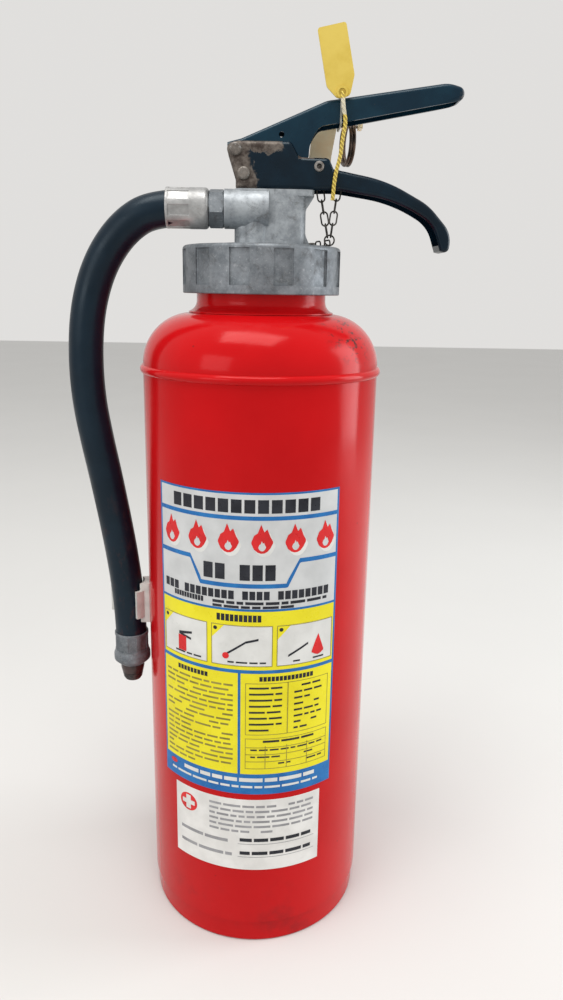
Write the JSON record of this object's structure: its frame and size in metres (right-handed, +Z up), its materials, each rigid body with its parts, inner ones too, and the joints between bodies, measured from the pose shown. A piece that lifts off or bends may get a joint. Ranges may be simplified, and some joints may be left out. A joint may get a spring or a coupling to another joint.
{
  "type": "fire extinguisher",
  "caption": "Cartridge-operated 6 kg dry powder fire extinguisher: red cylinder, silver screw cap, dark squeeze lever, side hose in a clip, safety pin with pull ring, chain and yellow seal.",
  "frame": {"origin": "centre of the foot ring, on the floor", "axes": "+Z up along the cylinder; +X the way the lever and carrying handle reach; -Y the labelled front"},
  "size_m": [0.2456, 0.158, 0.5941],
  "materials": {
    "red_paint": "gloss",
    "dark_lever_paint": "gloss",
    "cast_metal": "satin",
    "bare_steel": "satin",
    "bright_ferrule": "satin",
    "hose_rubber": "satin",
    "black_rubber": "matte",
    "clip_plastic": "satin",
    "tab_plastic": "satin",
    "yellow_seal": "satin",
    "clear_seal": "gloss",
    "rusty_wire": "matte",
    "brass_plug": "satin",
    "label_film": "gloss",
    "sticker_paper": "matte",
    "dark_nozzle": "satin",
    "powder": "matte"
  },
  "bodies": {
    "extinguisher": {"cylinder_shell": "red_paint", "shoulder_dome": "red_paint", "base_dish": "red_paint", "neck_ring": "red_paint", "cap_ring": "cast_metal", "neck_gasket": "black_rubber", "valve_body": "cast_metal", "plunger_guide": "brass_plug", "plunger_oring": "black_rubber", "plunger_spring": "bare_steel", "gas_cartridge": "bare_steel", "cartridge_seal_disc": "brass_plug", "cartridge_gasket": "black_rubber", "siphon_tube": "bare_steel", "siphon_cap": "black_rubber", "gas_tube": "bare_steel", "gas_tube_sleeve": "black_rubber", "powder_charge": "powder", "carry_bracket": "dark_lever_paint", "bracket_rivets": "bare_steel", "hose": "hose_rubber", "hose_nipple": "cast_metal", "hose_ferrule_top": "bright_ferrule", "hose_ferrule_bottom": "cast_metal", "nozzle": "dark_nozzle", "hose_clip": "clip_plastic", "clip_stud": "bare_steel", "retaining_chain": "bare_steel", "chain_eye": "bare_steel", "chain_screw": "bare_steel", "main_label": "label_film", "service_sticker": "sticker_paper"},
    "lever": {"operating_lever": "dark_lever_paint", "seal_flag": "yellow_seal", "seal_strap": "clear_seal", "seal_tail": "yellow_seal"},
    "plunger": {"piercing_plunger": "bare_steel"},
    "pin": {"safety_pin": "bare_steel", "pin_tab": "tab_plastic", "ring_hinge_bar": "bare_steel"},
    "ring": {"pull_ring": "rusty_wire"},
    "plug": {"nozzle_plug": "dark_nozzle"}
  },
  "joints": [
    {"name": "lever_squeeze", "type": "hinge", "parent": "extinguisher", "child": "lever", "pos_m": [-0.0166, 0, 0.5245], "axis": [0, 1, 0], "range_deg": [0, 16], "stiffness_Nm_per_rad": 2, "springref_deg": -20.05},
    {"name": "plunger_slide", "type": "slide", "parent": "extinguisher", "child": "plunger", "axis": [0, 0, -1], "range_m": [0, 0.00636], "deforming": ["plunger_spring"]},
    {"name": "pin_pull", "type": "slide", "parent": "extinguisher", "child": "pin", "axis": [0, 1, 0], "range_m": [0, 0.03]},
    {"name": "ring_swing", "type": "hinge", "parent": "pin", "child": "ring", "pos_m": [0.056, 0.024, 0.545], "axis": [1, 0, 0], "range_deg": [0, 100]},
    {"name": "plug_pull", "type": "slide", "parent": "extinguisher", "child": "plug", "axis": [0, 0, -1], "range_m": [0, 0.02]}
  ],
  "couplings": [
    {"joint": "plunger_slide", "follows": "lever_squeeze", "m_per_rad": 0.02276}
  ]
}
